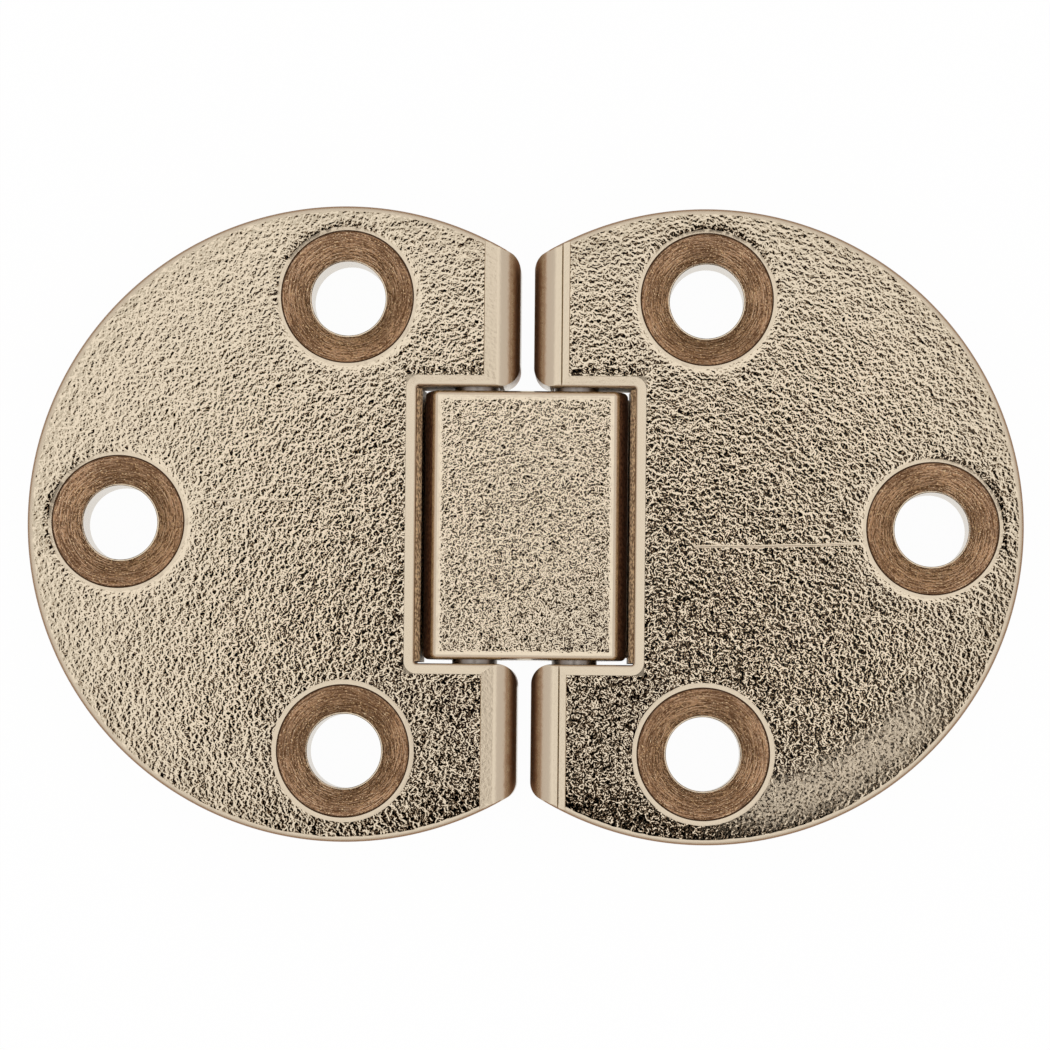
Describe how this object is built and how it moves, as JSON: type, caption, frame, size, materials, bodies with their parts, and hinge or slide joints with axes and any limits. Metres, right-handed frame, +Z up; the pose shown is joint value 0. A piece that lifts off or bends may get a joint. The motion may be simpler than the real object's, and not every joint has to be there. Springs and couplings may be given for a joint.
{
  "type": "flap hinge",
  "caption": "Flat round flap hinge: grained cast leaves with countersunk screw holes, joined by a short link on hidden pins, lying flush when open and folding face to face.",
  "frame": {"origin": "middle of the hinge's underside with the leaves lying flat", "axes": "+X across the pins towards the right leaf, +Y along the pins, +Z up out of the board, through the visible face"},
  "size_m": [0.0548, 0.035, 0.006],
  "materials": {
    "plated_casting": "warm nickel plate over a grained zinc casting, smooth at the edges",
    "pin_steel": "drawn steel"
  },
  "bodies": {
    "left_half": {"left_leaf": "plated_casting", "left_pin": "pin_steel"},
    "middle": {"link": "plated_casting"},
    "right_half": {"right_leaf": "plated_casting", "right_pin": "pin_steel"}
  },
  "joints": [
    {"name": "left_pivot", "type": "hinge", "parent": "left_half", "child": "middle", "pos_m": [-0.00275, 0, 0.0038], "axis": [0, -1, 0], "range_deg": [0, 90]},
    {"name": "right_pivot", "type": "hinge", "parent": "middle", "child": "right_half", "pos_m": [0.00275, 0, 0.0038], "axis": [0, -1, 0], "range_deg": [0, 90]}
  ]
}
